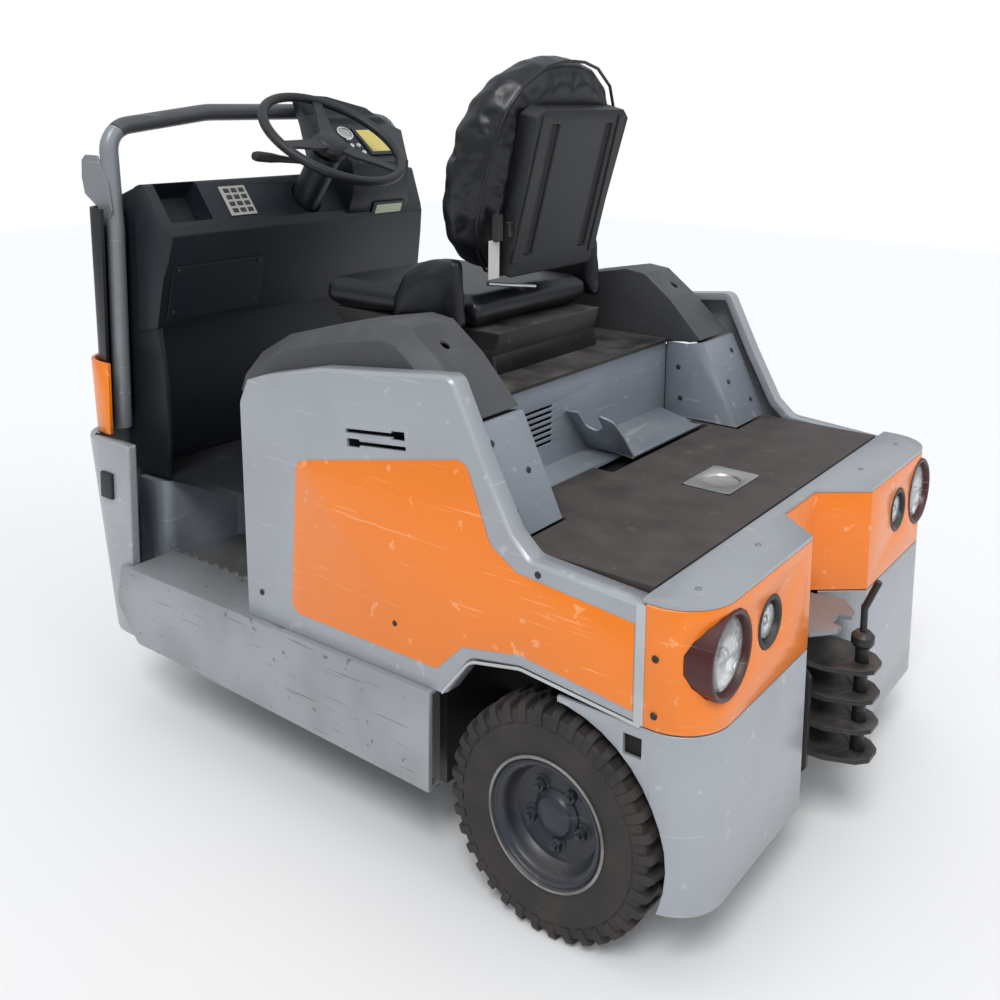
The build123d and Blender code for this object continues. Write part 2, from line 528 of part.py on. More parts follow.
def seat():
    """Seat: base, cushion with hip wings, backrest and the box moulded on its back."""
    base = plate_xz([(395, PLATFORM_Z + 9), (790, PLATFORM_Z + 9), (845, 905), (870, 930), (390, 930),
                     (405, 880)], -190, 190)
    save("seat_base", base)
    cushion = plate_xz([(420, 932), (880, 932), (896, 970), (880, 1000), (440, 996), (420, 980)], -225, 225)
    save("seat_cushion", fillet(cushion.edges().filter_by(Axis.X), 18))
    wing = plate_xz([(430, 934), (655, 934), (652, 1000), (610, 1052), (540, 1082), (445, 1088)], 228, 272,
                    {2: 40, 3: 40, 4: 30, 5: 20})
    save("seat_wings", both(wing))
    half = [(0, 0), (172, 0), (228, 90), (242, 250), (200, 392), (110, 478), (0, 500)]
    outline = half + [(-y, z) for y, z in reversed(half[1:-1])]
    rounds = {index: 50 for index in (1, 2, 3, 4, 5, 7, 8, 9, 10, 11)}
    pad = plate_yz(outline, 0, 105, rounds)
    front_edges = [edge for edge in pad.faces().sort_by(Axis.X)[-1].edges()]
    pad = chamfer(front_edges, 30)
    save("seat_back", Pos(452, 0, 1012) * Rot(0, -14, 0) * pad)
    shell = [(150, 40), (172, 380), (150, 396), (-150, 396), (-172, 380), (-150, 40)]
    box = plate_yz(shell, -44, 0)
    box -= both(block(-45, -36, 87, 113, 85, 365))
    save("seat_back_shell", Pos(450, 0, 1011) * Rot(0, -14, 0) * box)


def main():
    os.makedirs("parts", exist_ok=True)
    tyre, rim = tyre_about_y(), rim_about_y()
    rear_wheels(tyre, rim)
    front_wheel(tyre, rim)
    for build in (chassis, battery, rear_end, coupling, side_panels, humps, deck, guard_hoop, front_end,
                  console, seat):
        build()


if __name__ == "__main__":
    main()
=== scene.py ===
"""Airport baggage tug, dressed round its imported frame."""
import math
from dataclasses import dataclass
from enum import Enum

import bmesh
import bpy
from mathutils import Matrix, Vector


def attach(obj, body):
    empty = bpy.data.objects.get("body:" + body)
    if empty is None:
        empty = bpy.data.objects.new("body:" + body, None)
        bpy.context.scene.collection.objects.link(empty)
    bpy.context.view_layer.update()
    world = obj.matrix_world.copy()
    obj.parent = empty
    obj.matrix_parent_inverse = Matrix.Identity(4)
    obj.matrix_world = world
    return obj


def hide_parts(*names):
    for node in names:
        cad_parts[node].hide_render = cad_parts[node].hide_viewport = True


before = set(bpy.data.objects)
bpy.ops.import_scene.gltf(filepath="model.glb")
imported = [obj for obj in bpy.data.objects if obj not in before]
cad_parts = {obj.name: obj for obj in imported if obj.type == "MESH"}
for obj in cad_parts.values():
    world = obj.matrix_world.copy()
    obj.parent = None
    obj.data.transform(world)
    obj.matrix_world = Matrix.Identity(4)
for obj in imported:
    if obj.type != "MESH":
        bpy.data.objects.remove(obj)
AXLE_X = -0.5005
MM = 0.001
CAD_WELD = 0.00002
SPIN_WELD = 0.00001
FACE_LIFT = 0.0004
TINY = 1e-6


def at(x: float, y: float, z: float) -> Vector:
    """Point in the frame from millimetres behind or ahead of the rear axle."""
    return Vector((x * MM + AXLE_X, y * MM, z * MM))


class Slot(Enum):
    """Material slots of the record; no piece made here uses them."""

    SILVER = "silver_paint"
    TUBE = "grey_tube"
    PLASTIC = "moulded_plastic"
    VINYL = "vinyl"
    WORN = "worn_steel"
    TYRE = "tyre"
    RIM = "rim_paint"
    LENS = "lamp_lens"


@dataclass(frozen=True)
class Finish:
    """Numbers of one surface finish; colours are linear."""

    name: str
    color: tuple
    grime: tuple = (0.08, 0.07, 0.06)
    amount: float = 0.3
    scratch: float = 0.3
    scratch_color: tuple = (0.6, 0.6, 0.6)
    dust: float = 0.2
    dust_color: tuple = (0.40, 0.37, 0.33)
    roughness: float = 0.45
    metallic: float = 0.0
    grain: float = 700.0
    bump: float = 0.12
    scale: float = 5.0
    coat: float = 0.0

    def material(self) -> bpy.types.Material:
        """Material of this finish, made once."""
        found = bpy.data.materials.get(self.name)
        if found:
            return found
        material = bpy.data.materials.new(self.name)
        material.use_nodes = True
        nodes, links = material.node_tree.nodes, material.node_tree.links
        shader = nodes["Principled BSDF"]
        group = nodes.new("ShaderNodeGroup")
        group.node_tree = weathering()
        values = {
            "Color": (*self.color, 1), "Grime": (*self.grime, 1), "Amount": self.amount,
            "Scratch": self.scratch, "Scratch Color": (*self.scratch_color, 1), "Dust": self.dust,
            "Dust Color": (*self.dust_color, 1), "Roughness": self.roughness, "Grain": self.grain,
            "Bump": self.bump, "Scale": self.scale,
        }
        for key, value in values.items():
            group.inputs[key].default_value = value
        shader.inputs["Metallic"].default_value = self.metallic
        shader.inputs["Coat Weight"].default_value = self.coat
        shader.inputs["Coat Roughness"].default_value = 0.12
        links.new(group.outputs["Color"], shader.inputs["Base Color"])
        links.new(group.outputs["Roughness"], shader.inputs["Roughness"])
        links.new(group.outputs["Normal"], shader.inputs["Normal"])
        return material


def mixed(tree, factor, low, high):
    """Colour mix node; returns its colour output."""
    node = tree.nodes.new("ShaderNodeMix")
    node.data_type = "RGBA"
    tree.links.new(factor, node.inputs["Factor"])
    tree.links.new(low, node.inputs[6])
    tree.links.new(high, node.inputs[7])
    return node.outputs[2]


def noise(tree, vector, scale, detail: float = 4.0):
    """Noise texture; scale is a number or a socket."""
    node = tree.nodes.new("ShaderNodeTexNoise")
    node.inputs["Detail"].default_value = detail
    tree.links.new(vector, node.inputs["Vector"])
    if isinstance(scale, (int, float)):
        node.inputs["Scale"].default_value = scale
    else:
        tree.links.new(scale, node.inputs["Scale"])
    return node.outputs["Fac"]


def ranged(tree, value, low: float, high: float):
    """Value stretched so that low gives 0 and high gives 1."""
    node = tree.nodes.new("ShaderNodeMapRange")
    node.inputs["From Min"].default_value = low
    node.inputs["From Max"].default_value = high
    tree.links.new(value, node.inputs["Value"])
    return node.outputs["Result"]


def math_node(tree, operation: str, first, second):
    """Two-input math node; each input is a number or a socket."""
    node = tree.nodes.new("ShaderNodeMath")
    node.operation = operation
    for socket, value in zip(node.inputs, (first, second)):
        if isinstance(value, (int, float)):
            socket.default_value = value
        else:
            tree.links.new(value, socket)
    return node.outputs[0]


def stretched(tree, vector, scale: tuple):
    """Coordinates scaled differently along each axis."""
    node = tree.nodes.new("ShaderNodeMapping")
    node.inputs["Scale"].default_value = scale
    tree.links.new(vector, node.inputs["Vector"])
    return node.outputs["Vector"]


def weathering() -> bpy.types.NodeTree:
    """Shared node group: patches, scratches, chips, dust on top faces, and fine grain."""
    found = bpy.data.node_groups.get("weathering")
    if found:
        return found
    tree = bpy.data.node_groups.new("weathering", "ShaderNodeTree")
    weathering_sockets(tree)
    given = tree.nodes.new("NodeGroupInput").outputs
    result = tree.nodes.new("NodeGroupOutput")
    place = tree.nodes.new("ShaderNodeTexCoord").outputs["Object"]
    patches = ranged(tree, noise(tree, place, given["Scale"], 8.0), 0.42, 0.72)
    patches = math_node(tree, "MULTIPLY", patches, given["Amount"])
    marks = math_node(tree, "MULTIPLY", wear_marks(tree, place), given["Scratch"])
    dust = math_node(tree, "MULTIPLY", settled_dust(tree, place), given["Dust"])
    color = mixed(tree, patches, given["Color"], given["Grime"])
    color = mixed(tree, marks, color, given["Scratch Color"])
    color = mixed(tree, dust, color, given["Dust Color"])
    tree.links.new(color, result.inputs["Color"])
    rough = math_node(tree, "MULTIPLY", patches, 0.25)
    rough = math_node(tree, "ADD", rough, given["Roughness"])
    rough = math_node(tree, "ADD", rough, math_node(tree, "MULTIPLY", dust, 0.4))
    tree.links.new(rough, result.inputs["Roughness"])
    grain = noise(tree, place, given["Grain"], 3.0)
    height = math_node(tree, "SUBTRACT", grain, math_node(tree, "MULTIPLY", marks, 0.5))
    bump = tree.nodes.new("ShaderNodeBump")
    bump.inputs["Distance"].default_value = 0.0006
    tree.links.new(given["Bump"], bump.inputs["Strength"])
    tree.links.new(height, bump.inputs["Height"])
    tree.links.new(bump.outputs["Normal"], result.inputs["Normal"])
    return tree


def weathering_sockets(tree: bpy.types.NodeTree) -> None:
    """Inputs and outputs of the weathering group."""
    face = tree.interface
    for name in ("Color", "Grime", "Scratch Color", "Dust Color"):
        face.new_socket(name, in_out="INPUT", socket_type="NodeSocketColor")
    for name in ("Amount", "Scratch", "Dust", "Roughness", "Grain", "Bump", "Scale"):
        face.new_socket(name, in_out="INPUT", socket_type="NodeSocketFloat")
    face.new_socket("Color", in_out="OUTPUT", socket_type="NodeSocketColor")
    face.new_socket("Roughness", in_out="OUTPUT", socket_type="NodeSocketFloat")
    face.new_socket("Normal", in_out="OUTPUT", socket_type="NodeSocketVector")


def wear_marks(tree, place):
    """Mask of long level scratches and small chips."""
    lines = noise(tree, stretched(tree, place, (3.0, 3.0, 90.0)), 2.2, 6.0)
    lines = ranged(tree, lines, 0.66, 0.70)
    chips = ranged(tree, noise(tree, place, 34.0, 9.0), 0.665, 0.69)
    return math_node(tree, "MAXIMUM", lines, chips)


def settled_dust(tree, place):
    """Mask of cloudy dust on faces that look upwards."""
    normal = tree.nodes.new("ShaderNodeNewGeometry").outputs["Normal"]
    split = tree.nodes.new("ShaderNodeSeparateXYZ")
    tree.links.new(normal, split.inputs[0])
    upward = ranged(tree, split.outputs["Z"], 0.35, 1.0)
    cloud = ranged(tree, noise(tree, place, 14.0, 10.0), 0.30, 0.75)
    return math_node(tree, "MULTIPLY", upward, cloud)


SILVER = Finish("silver panel paint", (0.36, 0.38, 0.41), amount=0.22, scratch=0.30, dust=0.18,
                grime=(0.20, 0.19, 0.18), roughness=0.36, metallic=0.25, bump=0.05, coat=0.25,
                scratch_color=(0.62, 0.63, 0.64))
SKIRT = Finish("scuffed skirt paint", (0.34, 0.355, 0.38), amount=0.45, scratch=0.75, dust=0.2, scale=5.0,
               grime=(0.17, 0.165, 0.16), roughness=0.40, metallic=0.3, bump=0.08,
               scratch_color=(0.13, 0.12, 0.11))
SHADE = Finish("blue grey paint", (0.27, 0.30, 0.345), amount=0.3, scratch=0.35, dust=0.25,
               grime=(0.10, 0.10, 0.11), roughness=0.40, metallic=0.25, bump=0.06)
ORANGE = Finish("orange paint", (0.86, 0.205, 0.006), amount=0.12, scratch=0.35, dust=0.10,
                grime=(0.62, 0.15, 0.02), roughness=0.33, bump=0.04, coat=0.3,
                scratch_color=(0.95, 0.55, 0.30))
PLASTIC = Finish("moulded plastic", (0.009, 0.010, 0.012), amount=0.2, scratch=0.08, dust=0.08,
                 grime=(0.022, 0.022, 0.025), roughness=0.46, bump=0.35, grain=1500.0,
                 scratch_color=(0.10, 0.10, 0.11), dust_color=(0.16, 0.16, 0.165))
CAP = Finish("worn cap plastic", (0.055, 0.056, 0.060), amount=0.35, scratch=0.18, dust=0.42,
             grime=(0.09, 0.09, 0.095), roughness=0.50, bump=0.45, grain=1100.0,
             scratch_color=(0.16, 0.16, 0.17), dust_color=(0.17, 0.17, 0.175))
DASH = Finish("dark dash plastic", (0.006, 0.009, 0.014), amount=0.2, scratch=0.06, dust=0.07,
              grime=(0.025, 0.027, 0.03), roughness=0.42, bump=0.3, grain=1500.0,
              scratch_color=(0.07, 0.07, 0.08), dust_color=(0.09, 0.095, 0.11))
BLACK = Finish("black paint", (0.012, 0.012, 0.013), amount=0.4, scratch=0.25, dust=0.25,
               grime=(0.05, 0.04, 0.035), roughness=0.42, scratch_color=(0.12, 0.11, 0.10))
VINYL = Finish("black vinyl", (0.0045, 0.0055, 0.008), amount=0.1, scratch=0.0, dust=0.05,
               grime=(0.02, 0.02, 0.024), roughness=0.34, bump=0.30, grain=900.0,
               dust_color=(0.06, 0.06, 0.07))
TUBE_GREY = Finish("grey tube paint", (0.24, 0.255, 0.275), amount=0.3, scratch=0.4, dust=0.1,
                   grime=(0.15, 0.14, 0.13), roughness=0.36, metallic=0.2,
                   scratch_color=(0.55, 0.55, 0.55))
BAR_GREY = Finish("grey bar paint", (0.085, 0.088, 0.095), amount=0.35, scratch=0.3, dust=0.35,
                  grime=(0.045, 0.043, 0.04), roughness=0.36, metallic=0.2, dust_color=(0.20, 0.20, 0.20),
                  scratch_color=(0.30, 0.30, 0.30))
WORN = Finish("worn steel", (0.50, 0.49, 0.47), amount=0.45, scratch=0.5, dust=0.2, scale=9.0,
              grime=(0.11, 0.10, 0.09), roughness=0.34, metallic=0.85, bump=0.15,
              scratch_color=(0.7, 0.7, 0.7))
DECK = Finish("anti-slip board", (0.042, 0.034, 0.032), amount=0.6, scratch=0.35, dust=0.55, scale=3.0,
              grime=(0.075, 0.06, 0.055), roughness=0.62, bump=0.9, grain=420.0,
              scratch_color=(0.14, 0.125, 0.115), dust_color=(0.115, 0.095, 0.088))
RUBBER = Finish("dusty rubber", (0.020, 0.018, 0.018), amount=0.75, scratch=0.15, dust=0.3, scale=11.0,
                grime=(0.055, 0.044, 0.038), roughness=0.72, bump=0.4, grain=500.0,
                scratch_color=(0.10, 0.09, 0.08), dust_color=(0.09, 0.075, 0.065))
RIM = Finish("dark rim paint", (0.016, 0.021, 0.031), amount=0.45, scratch=0.25, dust=0.2, scale=12.0,
             grime=(0.045, 0.035, 0.03), roughness=0.38, scratch_color=(0.14, 0.13, 0.13))
EDGE = Finish("worn rim edge", (0.30, 0.29, 0.28), amount=0.7, scratch=0.3, scale=14.0,
              grime=(0.05, 0.04, 0.035), roughness=0.4, metallic=0.6)
CHROME = Finish("chrome", (0.75, 0.76, 0.78), amount=0.05, scratch=0.05, dust=0.0, roughness=0.10,
                metallic=1.0, bump=0.02)
TRIM = Finish("pale trim", (0.50, 0.51, 0.52), amount=0.3, scratch=0.1, roughness=0.5,
              grime=(0.22, 0.21, 0.20))
KEYS = Finish("key pad", (0.40, 0.40, 0.38), amount=0.2, scratch=0.05, roughness=0.55)
DARK_KEY = Finish("key caps", (0.02, 0.02, 0.022), amount=0.1, scratch=0.0, roughness=0.5)
YELLOW = Finish("amber display", (0.62, 0.50, 0.13), amount=0.1, scratch=0.0, roughness=0.25, dust=0.05)
GREEN = Finish("pale green display", (0.55, 0.62, 0.42), amount=0.1, scratch=0.0, roughness=0.25,
               dust=0.05)
TAG = Finish("white tag", (0.62, 0.61, 0.58), amount=0.2, scratch=0.05, roughness=0.6)
DARK_RED = Finish("dark red rim", (0.06, 0.006, 0.006), amount=0.5, scratch=0.2, roughness=0.35,
                  grime=(0.012, 0.006, 0.006))
# Near-black colour for the block behind the tower hole: painted shade, not the colour of any part.
HOLE_SHADE = Finish("deep shade", (0.004, 0.004, 0.004), amount=0.1, scratch=0.0, dust=0.0, roughness=0.8)


@dataclass(frozen=True)
class Studio:
    """Floor, lights and the camera of the photograph."""

    focal_mm: float = 40.82
    sensor_mm: float = 36.0
    shift_x: float = -0.0541
    shift_y: float = -0.2455
    place: tuple = (-0.9963 + AXLE_X, 1.9864, 1.4199)
    yaw_deg: float = -55.10
    pitch_deg: float = 8.15
    roll_deg: float = 0.965
    floor_half: float = 9.0

    def build(self) -> None:
        """Camera, lights, world and floor."""
        self.camera()
        self.floor()
        self.world()
        self.sun("key", (-0.30, 0.62, 0.90), 1.5, 22.0)
        self.sun("fill", (-0.85, -0.10, 0.45), 0.4, 45.0)
        bpy.context.scene.view_settings.view_transform = "Standard"

    def camera(self) -> None:
        """Camera at the photograph's place and angle."""
        data = bpy.data.cameras.new("camera")
        data.lens = self.focal_mm
        data.sensor_width = self.sensor_mm
        data.shift_x = self.shift_x
        data.shift_y = self.shift_y
        camera = bpy.data.objects.new("camera", data)
        bpy.context.scene.collection.objects.link(camera)
        turn = (Matrix.Rotation(math.radians(self.yaw_deg - 90), 4, "Z")
                @ Matrix.Rotation(math.radians(90 - self.pitch_deg), 4, "X")
                @ Matrix.Rotation(math.radians(self.roll_deg), 4, "Z"))
        camera.matrix_world = Matrix.Translation(Vector(self.place)) @ turn
        bpy.context.scene.camera = camera

    def sun(self, name: str, toward: tuple, energy: float, angle_deg: float) -> None:
        """Soft distant light shining from the given direction."""
        data = bpy.data.lights.new(name, "SUN")
        data.energy = energy
        data.angle = math.radians(angle_deg)
        lamp = bpy.data.objects.new(name, data)
        lamp.rotation_euler = Vector(toward).to_track_quat("Z", "Y").to_euler()
        bpy.context.scene.collection.objects.link(lamp)

    def floor(self) -> None:
        """Plain pale floor."""
        mesh = bpy.data.meshes.new("floor")
        shape = bmesh.new()
        bmesh.ops.create_grid(shape, x_segments=1, y_segments=1, size=self.floor_half)
        shape.to_mesh(mesh)
        shape.free()
        floor = bpy.data.objects.new("floor", mesh)
        material = bpy.data.materials.new("pale floor")
        material.use_nodes = True
        shader = material.node_tree.nodes["Principled BSDF"]
        shader.inputs["Base Color"].default_value = (0.86, 0.86, 0.86, 1)
        shader.inputs["Roughness"].default_value = 0.9
        mesh.materials.append(material)
        bpy.context.scene.collection.objects.link(floor)

    def world(self) -> None:
        """White to the camera, a soft overcast sky to everything else."""
        world = bpy.data.worlds.new("sky")
        bpy.context.scene.world = world
        world.use_nodes = True
        tree = world.node_tree
        tree.nodes.clear()
        place = tree.nodes.new("ShaderNodeTexCoord").outputs["Generated"]
        split = tree.nodes.new("ShaderNodeSeparateXYZ")
        tree.links.new(place, split.inputs[0])
        ramp = tree.nodes.new("ShaderNodeValToRGB")
        ramp.color_ramp.elements[0].position = 0.42
        ramp.color_ramp.elements[0].color = (0.10, 0.10, 0.10, 1)
        ramp.color_ramp.elements[1].position = 0.72
        ramp.color_ramp.elements[1].color = (0.92, 0.96, 1.0, 1)
        height = math_node(tree, "MULTIPLY_ADD", split.outputs["Z"], 0.5)
        height.node.inputs[2].default_value = 0.5
        tree.links.new(height, ramp.inputs["Fac"])
        sky = tree.nodes.new("ShaderNodeBackground")
        sky.inputs["Strength"].default_value = 0.78
        tree.links.new(ramp.outputs["Color"], sky.inputs["Color"])
        white = tree.nodes.new("ShaderNodeBackground")
        white.inputs["Color"].default_value = (1, 1, 1, 1)
        rays = tree.nodes.new("ShaderNodeLightPath")
        choose = tree.nodes.new("ShaderNodeMixShader")
        tree.links.new(rays.outputs["Is Camera Ray"], choose.inputs["Fac"])
        tree.links.new(sky.outputs[0], choose.inputs[1])
        tree.links.new(white.outputs[0], choose.inputs[2])
        result = tree.nodes.new("ShaderNodeOutputWorld")
        tree.links.new(choose.outputs[0], result.inputs["Surface"])


def piece(name: str, shape: bmesh.types.BMesh, finish: Finish, body: str = "vehicle",
          nodes: tuple = (), bevel: float = 0.0, segments: int = 2, sharp_deg: float = 38.0,
          extra: tuple = ()) -> bpy.types.Object:
    """Object made from a bmesh, riding on a body.

    Args:
        name: piece name.
        shape: geometry in the frame, freed here.
        finish: main finish; extra holds further finishes in material order.
        body: CAD body that carries it.
        nodes: CAD nodes that it stands for.
        bevel: width of the bevel modifier, or 0.
        segments: bevel segments.
        sharp_deg: edges sharper than this stay sharp.

    Returns:
        The new object.
    """
    bmesh.ops.recalc_face_normals(shape, faces=shape.faces)
    for face in shape.faces:
        face.smooth = True
    mesh = bpy.data.meshes.new(name)
    shape.to_mesh(mesh)
    shape.free()
    mesh.set_sharp_from_angle(angle=math.radians(sharp_deg))
    for one in (finish, *extra):
        mesh.materials.append(one.material())
    made = bpy.data.objects.new(name, mesh)
    bpy.context.scene.collection.objects.link(made)
    if bevel:
        add_bevel(made, bevel, segments)
    enter(made, body, nodes)
    return made


def enter(made: bpy.types.Object, body: str, nodes: tuple) -> None:
    """Tell the frame which body and CAD nodes a piece belongs to."""
    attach(made, body)
    if nodes:
        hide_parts(*nodes)


def add_bevel(made: bpy.types.Object, width: float, segments: int, angle_deg: float = 30.0) -> None:
    """Rounded edges that catch the light."""
    modifier = made.modifiers.new("edge", "BEVEL")
    modifier.width = width
    modifier.segments = segments
    modifier.limit_method = "ANGLE"
    modifier.angle_limit = math.radians(angle_deg)
    modifier.harden_normals = True


def dress(node: str, finish: Finish, bevel: float = 0.0, segments: int = 2) -> None:
    """Better material, and eased edges, on a CAD node that stays."""
    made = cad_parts[node]
    for slot in made.material_slots:
        slot.material = finish.material()
    for polygon in made.data.polygons:
        polygon.use_smooth = bool(bevel)
    if bevel:
        weld = made.modifiers.new("weld", "WELD")
        weld.merge_threshold = CAD_WELD
        add_bevel(made, bevel, segments)


def slab(shape: bmesh.types.BMesh, corners: list, along: Vector) -> list:
    """Prism from a flat outline pushed along a vector; returns its vertices."""
    base = [shape.verts.new(corner) for corner in corners]
    face = shape.faces.new(base)
    grown = bmesh.ops.extrude_face_region(shape, geom=[face])
    top = [item for item in grown["geom"] if isinstance(item, bmesh.types.BMVert)]
    bmesh.ops.translate(shape, verts=top, vec=along)
    return base + top


def soften(shape: bmesh.types.BMesh, verts: list, width: float) -> None:
    """Round every edge at the given vertices."""
    edges = list({edge for vert in verts for edge in vert.link_edges})
    bmesh.ops.bevel(shape, geom=edges, offset=width, segments=3, profile=0.5, affect="EDGES")


def cuboid(shape: bmesh.types.BMesh, low: Vector, high: Vector) -> list:
    """Box between two corners; returns its vertices."""
    corners = [Vector((low.x, low.y, low.z)), Vector((high.x, low.y, low.z)),
               Vector((high.x, high.y, low.z)), Vector((low.x, high.y, low.z))]
    return slab(shape, corners, Vector((0, 0, high.z - low.z)))


def turned(shape: bmesh.types.BMesh, profile: list, place: Matrix, steps: int) -> list:
    """Spin (radius, height) points in mm about the local z axis; returns the new vertices."""
    before = set(shape.verts)
    points = [shape.verts.new(Vector((r * MM, 0, z * MM))) for r, z in profile]
    edges = [shape.edges.new(pair) for pair in zip(points, points[1:])]
    bmesh.ops.spin(shape, geom=points + edges, cent=(0, 0, 0), axis=(0, 0, 1), steps=steps,
                   angle=2 * math.pi, use_merge=True)
    new = [vert for vert in shape.verts if vert not in before]
    bmesh.ops.remove_doubles(shape, verts=new, dist=SPIN_WELD)
    new = [vert for vert in shape.verts if vert not in before]
    bmesh.ops.transform(shape, matrix=place, verts=new)
    return new


def facing(point: Vector, normal: Vector) -> Matrix:
    """Matrix with its z axis along a normal at a point."""
    return Matrix.Translation(point) @ Vector(normal).to_track_quat("Z", "Y").to_matrix().to_4x4()


def curve_piece(name: str, points: list, radius: float, finish: Finish, body: str = "vehicle",
                nodes: tuple = (), closed: bool = False, sides: int = 6) -> None:
    """Round bar or piping along a smooth run of points."""
    data = bpy.data.curves.new(name, "CURVE")
    data.dimensions = "3D"
    data.bevel_depth = radius
    data.bevel_resolution = sides
    data.use_fill_caps = True
    spline = data.splines.new("POLY")
    spline.points.add(len(points) - 1)
    for target, point in zip(spline.points, points):
        target.co = (*point, 1)
    spline.use_cyclic_u = closed
    spline.use_smooth = True
    data.materials.append(finish.material())
    made = bpy.data.objects.new(name, data)
    bpy.context.scene.collection.objects.link(made)
    enter(made, body, nodes)


def rounded_path(points: list, radii: list, steps: int = 8) -> list:
    """Points of a path whose inner corners are replaced by arcs."""
    path = [points[0]]
    for before, corner, after, radius in zip(points, points[1:], points[2:], radii):
        back, ahead = (before - corner).normalized(), (after - corner).normalized()
        half = back.angle(ahead) / 2
        reach = radius / math.tan(half)
        centre = corner + (back + ahead).normalized() * radius / math.sin(half)
        first, last = corner + back * reach - centre, corner + ahead * reach - centre
        for index in range(steps + 1):
            turn = first.normalized().slerp(last.normalized(), index / steps)
            path.append(centre + turn * radius)
    return path + [points[-1]]


def bolts(name: str, places: list, radius: float, finish: Finish, body: str = "vehicle") -> None:
    """Round-headed screws, of a radius in mm, standing on points along their normals."""
    shape = bmesh.new()
    head = [(0, 0.42), (0.45, 0.40), (0.5, 0.12), (0.55, 0.40), (0.85, 0.34), (1.0, 0.16), (1.0, -0.1)]
    scaled = [(r * radius, z * radius) for r, z in head]
    for point, normal in places:
        turned(shape, scaled, facing(point, Vector(normal)), 16)
    piece(name, shape, finish, body)


@dataclass(frozen=True)
class Wheel:
    """Block tyre and dished disc wheel."""

    lug_count: int = 36
    lug_width: float = 15.5
    middle_width: float = 8.0
    nut_circle: float = 54.0
    nut_count: int = 5
    first_nut_deg: float = 20.0
    outer: float = 207.2
    edge_from_r: float = 0.1125
    edge_from_z: float = 0.046
    track: float = 511.0
    axle_height: float = 207.5
    front_axle_x: float = 1000.0

    def tyre(self, name: str, body: str, node: str, centre: Vector) -> None:
        """Carcass with a stepped side wall and two rows of shoulder lugs."""
        half = [(103.5, 40.0), (108, 44), (116, 46.5), (122, 46), (126, 47.5), (146, 50), (166, 51),
                (171, 50.6), (172.5, 48.6), (182, 48.2), (191, 46.5), (195, 42), (196, 30), (196, 0)]
        profile = half + [(r, -y) for r, y in reversed(half[:-1])] + [half[0]]
        shape = bmesh.new()
        place = Matrix.Translation(centre) @ Matrix.Rotation(math.radians(-90), 4, "X")
        turned(shape, profile, place, 108)
        lug = [(190, 5), (self.outer, 5), (self.outer - 0.4, 36), (203.5, 45.5), (190, 50.6), (175, 51.6),
               (174, 47)]
        for index in range(2 * self.lug_count):
            side = 1 if index % 2 else -1
            turn = place @ Matrix.Rotation(math.pi * index / self.lug_count, 4, "Z")
            corners = [turn @ Vector((r * MM, -0.5 * self.lug_width * MM, side * y * MM)) for r, y in lug]
            across = (turn.to_3x3() @ Vector((0, 1, 0))) * self.lug_width * MM
            verts = slab(shape, corners, across)
            edges = {edge for vert in verts for edge in vert.link_edges}
            bmesh.ops.bevel(shape, geom=list(edges), offset=0.0013, segments=1, profile=0.5,
                            affect="EDGES", clamp_overlap=True)
        middle = [(192, -9), (self.outer - 1, -7), (self.outer - 1, 7), (192, 9)]
        for index in range(self.lug_count):
            turn = place @ Matrix.Rotation(2 * math.pi * (index + 0.25) / self.lug_count, 4, "Z")
            corners = [turn @ Vector((r * MM, -0.5 * self.middle_width * MM, y * MM)) for r, y in middle]
            slab(shape, corners, (turn.to_3x3() @ Vector((0, 1, 0))) * self.middle_width * MM)
        piece(name, shape, RUBBER, body, (node,), sharp_deg=32)

    def rim(self, name: str, body: str, node: str, centre: Vector, side: int) -> None:
        """Flange, lock ring, dish, hub and five nuts."""
        profile = [(0, 27), (20, 27), (24, 25.5), (33, 22), (36, 17), (43.5, 13), (45, 9), (48, 8.4),
                   (70, 9), (84, 11), (89, 16), (92, 28), (94, 36), (97, 40), (100, 41.5), (104, 42),
                   (105.5, 44.5), (108, 46), (109.5, 43.5), (111, 46.5), (113, 49), (116, 49.8),
                   (118, 48.5), (117.6, 46), (112, 44), (104, 42.5), (101, 41), (100.8, -41), (112, -44),
                   (118, -48), (116, -49.8), (108, -46), (96, -38), (90, -9), (40, -9), (0, -9)]
        nut = [(12, 0), (12, 9), (10.5, 12), (6, 12.5), (6, 19), (4, 20), (0, 20)]
        washer = [(16, 0), (16, 2), (11, 3)]
        shape = bmesh.new()
        place = Matrix.Translation(centre) @ Matrix.Rotation(math.radians(-90 * side), 4, "X")
        turned(shape, profile, place, 84)
        to_rim = place.inverted()
        for face in shape.faces:
            local = to_rim @ face.calc_center_median()
            if local.xy.length > self.edge_from_r and local.z > self.edge_from_z:
                face.material_index = 1
        for index in range(self.nut_count):
            angle = math.radians(360 / self.nut_count * index + self.first_nut_deg)
            turn = place @ Matrix.Rotation(angle, 4, "Z")
            centre_nut = turn @ Matrix.Translation((self.nut_circle * MM, 0, 0.008))
            turned(shape, nut, centre_nut, 6)
            turned(shape, washer, centre_nut, 20)
        piece(name, shape, RIM, body, (node,), extra=(EDGE,), sharp_deg=34)

    def build(self) -> None:
        """All three wheels."""
        left = at(0, self.track, self.axle_height)
        right = at(0, -self.track, self.axle_height)
        front = at(self.front_axle_x, 0, self.axle_height)
        self.tyre("tyre_left", "rear_wheel_left", "rear_tyre_left", left)
        self.tyre("tyre_right", "rear_wheel_right", "rear_tyre_right", right)
        self.tyre("tyre_front", "front_wheel", "front_tyre", front)
        self.rim("rim_left", "rear_wheel_left", "rear_rim_left", left, 1)
        self.rim("rim_right", "rear_wheel_right", "rear_rim_right", right, -1)
        dress("front_rim", RIM)
        dress("rear_axle", BLACK)
        dress("steer_fork", BLACK, 0.002)


